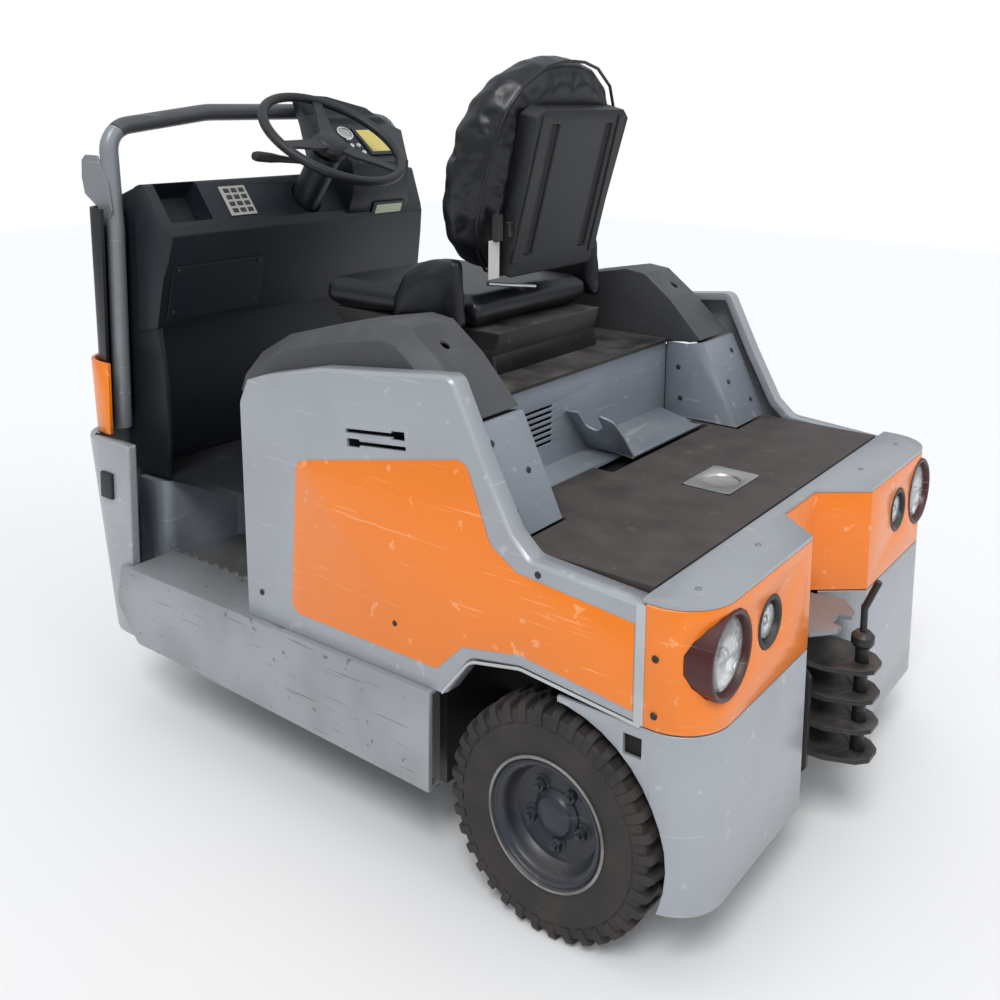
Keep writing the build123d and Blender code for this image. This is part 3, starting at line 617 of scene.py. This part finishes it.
@dataclass(frozen=True)
class Body:
    """Panels, deck, sills and their fittings; lengths in mm."""

    half: float = 549.0
    hump_inner: float = 356.0
    deck_z: float = 653.0
    slope_foot: tuple = (113.0, 654.0)
    slope_rise: tuple = (92.0, 187.0)
    grab_low: tuple = (-74.0, -84.0)
    grab_high: tuple = (30.0, 60.0)
    grab_top: float = 653.8
    dish_radius: float = 40.0
    dish_steps: int = 48

    def build(self) -> None:
        """Dress the CAD panels and add trim, screws and marks."""
        for node in ("side_panels", "rear_lower_panels", "rear_top_plate"):
            dress(node, SILVER, 0.0022)
        dress("side_sills", SKIRT, 0.003)
        for node in ("slope_panels", "seat_wall", "seat_front_wall", "wheel_housing", "plug_guard"):
            dress(node, SHADE, 0.0012)
        dress("rear_bulkhead", TUBE_GREY, 0.001)
        for node in ("inset_panels", "rear_bands", "front_cover"):
            dress(node, ORANGE, 0.0006)
        dress("front_bumper", SILVER, 0.006, 3)
        dress("hump_caps", CAP, 0.009, 4)
        dress("front_cowl", PLASTIC, 0.003)
        dress("seat_platform", BLACK)
        dress("chassis_frame", BLACK)
        dress("battery", PLASTIC)
        dress("deck_board", DECK, 0.001)
        dress("step_plates", WORN, 0.0008)
        dress("foot_plate", PLASTIC, 0.003)
        dress("tow_jaws", BLACK, 0.002)
        dress("coupling_pin", BLACK, 0.001)
        self.fasteners()
        self.trim()
        self.grab()

    def fasteners(self) -> None:
        """Screws and plugs that the panels carry."""
        (foot_x, foot_z), (run, rise) = self.slope_foot, self.slope_rise
        slope = Vector((-rise, 0, run)).normalized()
        black = []
        for side in (1, -1):
            out = (0, side, 0)
            for x, z in ((706, 418), (345, 459), (28, 636), (-196, 560), (-196, 466)):
                black.append((at(x, side * self.half, z), out))
            for x, z in ((270, 775), (262, 700)):
                black.append((at(x, side * self.hump_inner, z), (0, -side, 0)))
            for along, y in ((0.22, 470), (0.5, 400), (0.82, 470)):
                black.append((at(foot_x + run * along, side * y, foot_z + rise * along), slope))
        bolts("panel_screws", black, 6.2, BLACK)
        deck = [(at(-225, y, self.deck_z), (0, 0, 1)) for y in (-470, -250, 250, 470)]
        bolts("plate_screws", deck, 5.5, TUBE_GREY)

    def trim(self) -> None:
        """Strip ahead of the band, arch lip, a near-black block of painted shade behind the tower hole,
        and the front buffer.
        """
        shape = bmesh.new()
        for side in (1, -1):
            cuboid(shape, at(-177, side * self.half - 0.9, 442), at(-160, side * self.half + 0.9, 641))
        piece("band_strip", shape, TRIM, bevel=0.0005)
        for side, name in ((1, "left"), (-1, "right")):
            lip = ((232, 362), (170, 440), (62, 461), (-172, 440))
            arch = [at(x, side * (self.half + 0.5), z) for x, z in lip]
            curve_piece(f"arch_lip_{name}", rounded_path(arch, [0.04, 0.05]), 0.0028, TRIM)
        # Near-black block behind each tower hole: painted shade, so the hole reads dark.
        shape = bmesh.new()
        for side in (1, -1):
            cuboid(shape, at(-178, side * 536 - 3, 380), at(-140, side * 536 + 3, 424))
        piece("tower_hole_painted_shade", shape, HOLE_SHADE)
        shape = bmesh.new()
        for side in (1, -1):
            verts = cuboid(shape, at(1196, side * 550 - 5, 500), at(1238, side * 550 + 5, 560))
            soften(shape, verts, 0.003)
        piece("front_buffers", shape, PLASTIC)

    def grab(self) -> None:
        """Square plate with a round finger dish, let into the deck cover."""
        low, high = self.grab_low, self.grab_high
        centre = ((low[0] + high[0]) / 2, (low[1] + high[1]) / 2)
        half = ((high[0] - low[0]) / 2, (high[1] - low[1]) / 2)
        radius, top = self.dish_radius, self.grab_top
        turns = [2 * math.pi * k / self.dish_steps for k in range(self.dish_steps)]
        shape = bmesh.new()

        def ring(reaches: list, height: float) -> list:
            """Closed row of vertices at the given distances from the centre."""
            row = []
            for reach, turn in zip(reaches, turns):
                x, y = centre[0] + reach * math.cos(turn), centre[1] + reach * math.sin(turn)
                row.append(shape.verts.new(at(x, y, height)))
            return row

        dish = ((radius, top), (radius - 1.5, top - 0.8), (radius - 4, top - 5), (22, top - 7.5))
        rings = [ring([reach] * self.dish_steps, height) for reach, height in dish]
        square = [min(half[0] / max(abs(math.cos(turn)), TINY), half[1] / max(abs(math.sin(turn)), TINY))
                  for turn in turns]
        border = ring(square, top)
        for outer, inner in zip([border, *rings], rings):
            for k in range(self.dish_steps):
                after = (k + 1) % self.dish_steps
                shape.faces.new((outer[k], outer[after], inner[after], inner[k]))
        shape.faces.new(rings[-1])
        piece("grab_plate", shape, WORN, "deck_cover", ("deck_grab",))


@dataclass(frozen=True)
class Lamps:
    """Rear lamps: dark rims, mirrored bowls, bulbs and pebbled lenses."""

    face_x: float = -286.0
    height: float = 558.0
    sizes: tuple = ((465.0, 74.0), (322.0, 47.0))
    between_y: float = 0.385

    def lens(self) -> bpy.types.Material:
        """Clear pebbled glass."""
        material = bpy.data.materials.new("pebbled lens")
        material.use_nodes = True
        tree = material.node_tree
        shader = tree.nodes["Principled BSDF"]
        shader.inputs["Base Color"].default_value = (0.80, 0.80, 0.78, 1)
        shader.inputs["Transmission Weight"].default_value = 0.85
        shader.inputs["Roughness"].default_value = 0.12
        place = tree.nodes.new("ShaderNodeTexCoord").outputs["Object"]
        cells = tree.nodes.new("ShaderNodeTexVoronoi")
        cells.feature = "SMOOTH_F1"
        cells.inputs["Scale"].default_value = 230.0
        tree.links.new(place, cells.inputs["Vector"])
        bump = tree.nodes.new("ShaderNodeBump")
        bump.inputs["Strength"].default_value = 0.7
        bump.inputs["Distance"].default_value = 0.0012
        tree.links.new(cells.outputs["Distance"], bump.inputs["Height"])
        tree.links.new(bump.outputs["Normal"], shader.inputs["Normal"])
        return material

    def build(self) -> None:
        """Four lamps in three kinds of piece."""
        rims, lenses, bowls = bmesh.new(), bmesh.new(), bmesh.new()
        for y, radius in self.sizes:
            for side in (1, -1):
                place = facing(at(self.face_x + 8, side * y, self.height), Vector((-1, 0, 0)))
                ring = [(radius - 14, -29), (radius - 13, 2), (radius - 9, 7), (radius - 4, 8),
                        (radius - 1.5, 6), (radius - 1, 0), (radius - 1, -38), (radius - 14, -38),
                        (radius - 14, -29)]
                turned(rims, ring, place, 64)
                glass = [(radius - 14.5, -12), (radius - 15, -4), (radius * 0.6, 0.5), (0, 2.5)]
                turned(lenses, glass, place, 56)
                bowl = [(radius - 15, -8), (radius * 0.55, -24), (radius * 0.2, -30), (0, -31)]
                turned(bowls, bowl, place, 48)
                bulb = [(0, -8), (5, -9), (9, -13), (9, -20), (6, -28)]
                turned(bowls, bulb, place, 24)
        made = piece("lamp_rims", rims, DARK_RED, nodes=("lamp_bezels",),
                     extra=(BLACK,))
        for polygon in made.data.polygons:
            polygon.material_index = int(abs(polygon.center.y) < self.between_y)
        piece("lamp_bowls", bowls, CHROME)
        glass = piece("lamp_glass", lenses, CHROME, nodes=("lamp_lenses",))
        glass.data.materials[0] = self.lens()


@dataclass(frozen=True)
class Front:
    """Hoop, dash, hood instruments and the steering wheel."""

    wheel: tuple = (1058.0, 0.0, 1298.0)
    tilt_deg: float = 33.0
    hoop_radius: float = 0.0206
    grip_circle: float = 180.0
    grip_sides: int = 16

    def build(self) -> None:
        """Dress the dash and build what stands on it."""
        dress("dash_console", DASH, 0.006, 3)
        dress("dash_hood", DASH, 0.005, 3)
        dress("steering_column", DASH, 0.002)
        self.hoop()
        self.steering()
        self.controls()

    def hoop(self) -> None:
        """Bent tube: grey posts with a black bar between the bends, and the lug plates."""
        side = [at(1273, 468, 637), at(1273, 468, 1090), at(1300, 462, 1322), at(1300, 190, 1357)]
        mirrored = [Vector((p.x, -p.y, p.z)) for p in reversed(side)]
        path = rounded_path(side + mirrored, [0.2, 0.062, 0.3, 0.3, 0.062, 0.2])
        bar = [point for point in path if abs(point.y) < 0.42 or point.z > 1.315]
        curve_piece("hoop_bar", bar, self.hoop_radius, BAR_GREY, nodes=("guard_hoop",),
                    sides=8)
        for name, sign in (("left", 1), ("right", -1)):
            post = [point for point in path if sign * point.y > 0 and point.z < 1.318]
            curve_piece(f"hoop_post_{name}", post, self.hoop_radius - 0.0003, TUBE_GREY,
                        sides=8)
        lug = [(1276, 1100), (1257, 1140), (1270, 1200), (1306, 1262), (1350, 1262), (1364, 1250),
               (1366, 1211), (1356, 1173), (1308, 1145), (1290, 1108)]
        shape = bmesh.new()
        for low in (482, -488):
            slab(shape, [at(x, low, z) for x, z in lug], Vector((0, 0.006, 0)))
        piece("hoop_lugs", shape, TUBE_GREY, bevel=0.0015)

    def axis(self) -> Matrix:
        """Steering wheel frame: z along the shaft towards the driver."""
        tilt = math.radians(self.tilt_deg)
        forward = Vector((math.cos(tilt), 0, math.sin(tilt)))
        up = Vector((-math.sin(tilt), 0, math.cos(tilt)))
        across = up.cross(forward)
        turn = Matrix((forward, across, up)).transposed().to_4x4()
        return Matrix.Translation(at(*self.wheel)) @ turn

    def steering(self) -> None:
        """Grip ring, three spokes and the dished hub."""
        shape = bmesh.new()
        place = self.axis()
        turns = [2 * math.pi * k / self.grip_sides for k in range(self.grip_sides + 1)]
        grip = [(self.grip_circle + 12.5 * math.cos(turn), 11.5 * math.sin(turn)) for turn in turns]
        hub = [(0, 0), (26, -0.5), (34, -3), (40, -8), (48, -20), (46, -34), (12, -36), (11.5, -210)]
        spoke = ((30, 24, -19, 11), (70, 20, -17, 9), (120, 15, -10, 8), (172, 13, -4, 7))
        corners = ((-1, 0), (1, 0), (1, 1), (-1, 1))
        turned(shape, grip, place, 96)
        turned(shape, hub, place, 40)
        for angle in (-24, 96, 216):
            turn = place @ Matrix.Rotation(math.radians(angle), 4, "Z")
            rings = []
            for r, half, z, thick in spoke:
                section = [Vector((r * MM, y * half * MM, (z + t * thick) * MM)) for y, t in corners]
                rings.append([shape.verts.new(turn @ point) for point in section])
            for low, high in zip(rings, rings[1:]):
                for k in range(4):
                    shape.faces.new((low[k], low[(k + 1) % 4], high[(k + 1) % 4], high[k]))
        piece("steering_wheel_rim", shape, PLASTIC, "steering_wheel", ("steering_wheel",),
              bevel=0.0018)

    def panel(self, shape: bmesh.types.BMesh, line: tuple, run: tuple, ys: tuple, rise: float) -> list:
        """Thin plate lying on a face drawn in x and z.

        Args:
            shape: target geometry.
            line: two (x, z) points in mm that the face runs through.
            run: start and end along that line in mm.
            ys: lowest and highest y in mm.
            rise: thickness in mm, out of the face.
        """
        (x0, z0), (x1, z1) = line
        along = Vector((x1 - x0, 0, z1 - z0)).normalized()
        out = Vector((-along.z, 0, along.x))
        corners = [at(x0, y, z0) + along * r * MM + out * FACE_LIFT
                   for r, y in ((run[0], ys[0]), (run[1], ys[0]), (run[1], ys[1]), (run[0], ys[1]))]
        return slab(shape, corners, out * rise * MM)

    def plate(self, name: str, line: tuple, run: tuple, ys: tuple, rise: float, finish: Finish,
              bevel: float, segments: int = 2) -> None:
        """One panel as a piece of its own; see panel() for the first sizes."""
        shape = bmesh.new()
        self.panel(shape, line, run, ys, rise)
        piece(name, shape, finish, bevel=bevel, segments=segments)

    def controls(self) -> None:
        """Service cover, key pad, displays, gauge, buttons and stalk."""
        self.service_cover()
        self.key_pad()
        self.displays()
        self.gauge()
        self.stalk()

    def service_cover(self) -> None:
        """Screwed cover on the front of the dash."""
        face = ((1162, 880), (1126, 1030))
        self.plate("service_cover", face, (14, 142), (165, 425), 3, DASH, 0.0015)
        out = Vector((-150, 0, -36)).normalized()
        screws = [(at(1158 - 33 * k, y, 899 + 122 * k) + out * 0.0035, out)
                  for k in (0.1, 0.9) for y in (180, 410)]
        bolts("cover_screws", screws, 5.0, BLACK)

    def key_pad(self) -> None:
        """Pale pad with four rows of three keys on the sloping top."""
        top = ((1128, 1108), (1202, 1204))
        self.plate("key_pad", top, (14, 96), (176, 252), 2.5, KEYS, 0.001)
        shape = bmesh.new()
        for row in range(4):
            for column in range(3):
                start = 22 + row * 18.5
                left = 184 + column * 22
                self.panel(shape, top, (start, start + 11), (left, left + 15), 4.5)
        piece("key_caps", shape, DARK_KEY, bevel=0.0008)

    def displays(self) -> None:
        """Two framed displays, in the hood and on its lower face."""
        floor, low = ((1108, 1229), (1226, 1328)), ((1140, 1050), (1104, 1150))
        self.plate("upper_frame", floor, (24, 132), (-326, -206), 4, PLASTIC, 0.002)
        self.plate("upper_display", floor, (36, 120), (-316, -216), 5, YELLOW, 0.0006)
        self.plate("lower_frame", low, (22, 78), (-318, -196), 4, PLASTIC, 0.006, segments=4)
        self.plate("lower_display", low, (30, 70), (-306, -208), 5, GREEN, 0.0006)

    def gauge(self) -> None:
        """Round gauge with its bezel, and four chrome buttons."""
        along = Vector((118, 0, 99)).normalized()
        out = Vector((-along.z, 0, along.x))
        place = facing(at(1108, -166, 1229) + along * 0.108, out)
        shape = bmesh.new()
        turned(shape, [(0, 5), (19, 5), (20, 8), (24, 8), (26, 5), (26, 0)], place, 40)
        piece("gauge", shape, CHROME)
        shape = bmesh.new()
        turned(shape, [(0, 5.6), (18.5, 5.6)], place, 32)
        piece("gauge_face", shape, TAG)
        shape = bmesh.new()
        for y, reach in ((-158, 0.035), (-182, 0.035), (-158, 0.062), (-182, 0.062)):
            button = facing(at(1108, y, 1229) + along * reach, out)
            turned(shape, [(0, 7), (6, 6.5), (7.5, 4), (7.5, 0)], button, 20)
        piece("dash_buttons", shape, CHROME)

    def stalk(self) -> None:
        """Control stalk on the left of the column."""
        start, end = at(1092, 36, 1238), at(1086, 228, 1262)
        place = facing(start, end - start)
        shape = bmesh.new()
        turned(shape, [(0, 0), (7, 0), (7, 60), (9, 110), (12, 140), (12, 150)], place, 24)
        piece("stalk", shape, PLASTIC, bevel=0.0005)
        shape = bmesh.new()
        turned(shape, [(12.2, 150), (12.4, 180), (10, 190), (0, 193)], place, 24)
        piece("stalk_tip", shape, DARK_KEY)


@dataclass(frozen=True)
class Chair:
    """Sprung seat with padded cushions, piping and buckle."""

    lean_deg: float = -14.0
    voxel: float = 0.006
    pressure: float = 4.0
    stiffness: float = 15.0
    frames: int = 20
    middle_z: float = 245.0
    swell_half: float = 0.23

    def soft(self, name: str, shape: bmesh.types.BMesh, node: str, cap: float) -> None:
        """Padded piece inflated by a short cloth simulation.

        Args:
            name: piece name.
            shape: closed starting shape, smaller than the finished pad.
            node: CAD node that it replaces, or an empty string.
            cap: furthest that a point may move, in metres.
        """
        made = piece(name, shape, VINYL, nodes=(node,) if node else (), sharp_deg=180)
        remesh = made.modifiers.new("remesh", "REMESH")
        remesh.mode = "VOXEL"
        remesh.voxel_size = self.voxel
        remesh.use_smooth_shade = True
        self.apply(made)
        smooth = made.modifiers.new("smooth", "SMOOTH")
        smooth.iterations = 6
        self.apply(made)
        start = [vertex.co.copy() for vertex in made.data.vertices]
        self.inflate(made, start, cap)
        smooth = made.modifiers.new("smooth", "SMOOTH")
        smooth.iterations = 4
        self.apply(made)
        rounding = made.modifiers.new("rounding", "SUBSURF")
        rounding.levels = 1
        rounding.render_levels = 1

    def inflate(self, made: bpy.types.Object, start: list, cap: float) -> None:
        """Run the cloth, then keep each point within the cap."""
        cloth = made.modifiers.new("cloth", "CLOTH")
        cloth.settings.use_pressure = True
        cloth.settings.uniform_pressure_force = self.pressure
        cloth.settings.tension_stiffness = self.stiffness
        cloth.settings.effector_weights.gravity = 0.0
        scene = bpy.context.scene
        for number in range(1, self.frames + 1):
            scene.frame_set(number)
        self.apply(made)
        scene.frame_set(1)
        for vertex, rest in zip(made.data.vertices, start):
            move = vertex.co - rest
            if move.length > cap:
                vertex.co = rest + move.normalized() * cap

    def apply(self, made: bpy.types.Object) -> None:
        """Turn the modifiers' result into the mesh."""
        graph = bpy.context.evaluated_depsgraph_get()
        result = bpy.data.meshes.new_from_object(made.evaluated_get(graph))
        made.modifiers.clear()
        made.data = result
        for polygon in result.polygons:
            polygon.use_smooth = True

    def leaning(self) -> Matrix:
        """Backrest frame: x ahead, z up its face."""
        return Matrix.Translation(at(452, 0, 1012)) @ Matrix.Rotation(math.radians(self.lean_deg), 4, "Y")

    def outline(self, inset: float) -> list:
        """Backrest outline in y and z, in metres, drawn in by an inset."""
        half = [(0, 4), (110, 6), (170, 24), (212, 70), (234, 140), (240, 230), (232, 320), (208, 392),
                (168, 446), (100, 486), (40, 499), (0, 500)]
        full = half + [(-y, z) for y, z in reversed(half[1:-1])]
        centre = Vector((0, self.middle_z))
        return [centre * MM + (Vector(point) - centre) * MM * (1 - inset / 240) for point in full]

    def swell(self, height: float) -> float:
        """How much deeper the backrest is at a height above its foot, in metres."""
        return 1 + 0.38 * max(0.0, 1 - ((height - self.middle_z * MM) / self.swell_half) ** 2)

    def build(self) -> None:
        """Cushion, backrest, wings, shell details and belt parts."""
        dress("seat_base", BLACK, 0.004, 3)
        dress("seat_back_shell", PLASTIC, 0.005, 3)
        place = self.leaning()
        shape = bmesh.new()
        rings = []
        for depth, inset in ((4, 26), (14, 12), (50, 7), (80, 10), (95, 30), (101, 70)):
            rings.append([shape.verts.new(place @ Vector((depth * self.swell(p.y) * MM, p.x, p.y)))
                          for p in self.outline(inset)])
        count = len(rings[0])
        for low, high in zip(rings, rings[1:]):
            for k in range(count):
                shape.faces.new((low[k], low[(k + 1) % count], high[(k + 1) % count], high[k]))
        shape.faces.new(rings[0])
        shape.faces.new(rings[-1])
        self.soft("backrest", shape, "seat_back", 0.010)
        piping = [place @ Vector((0.010, p.x, p.y)) for p in self.outline(15)]
        curve_piece("backrest_piping", piping, 0.0035, VINYL, closed=True, sides=4)
        shape = bmesh.new()
        verts = cuboid(shape, at(428, -216, 942), at(886, 216, 990))
        soften(shape, verts, 0.016)
        self.soft("cushion", shape, "seat_cushion", 0.012)
        wing = [(430, 942), (622, 942), (620, 992), (590, 1044), (528, 1078), (446, 1086)]
        for side, name in ((1, "left"), (-1, "right")):
            shape = bmesh.new()
            verts = slab(shape, [at(x, side * 250 - 17, z) for x, z in wing], Vector((0, 0.034, 0)))
            soften(shape, verts, 0.010)
            self.soft(f"wing_{name}", shape, "seat_wings" if side > 0 else "", 0.008)
        self.fittings(place)

    def fittings(self, place: Matrix) -> None:
        """Shell strips, buckle stalk, tag and the silver bar."""
        shape = bmesh.new()
        for y in (-142, 142):
            low, high = Vector((-0.050, (y - 12) * MM, 0.07)), Vector((-0.040, (y + 12) * MM, 0.385))
            for vert in cuboid(shape, low, high):
                vert.co = place @ vert.co
        piece("shell_strips", shape, PLASTIC, bevel=0.003)
        shape = bmesh.new()
        cuboid(shape, at(386, 184, 1120), at(400, 206, 1176))
        cuboid(shape, at(380, 150, 1126), at(392, 174, 1158))
        piece("buckle", shape, BLACK, bevel=0.003)
        shape = bmesh.new()
        cuboid(shape, at(396, 184, 1044), at(398, 218, 1123))
        piece("tag", shape, TAG, bevel=0.0005)
        bar = [at(410, 204, 1033), at(410, 120, 1019), at(410, 41, 1007)]
        curve_piece("seat_bar", bar, 0.004, CHROME)


def main() -> None:
    """Build the pieces in order."""
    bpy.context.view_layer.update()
    Studio().build()
    Body().build()
    Wheel().build()
    Lamps().build()
    Front().build()
    Chair().build()


if __name__ == "__main__":
    main()
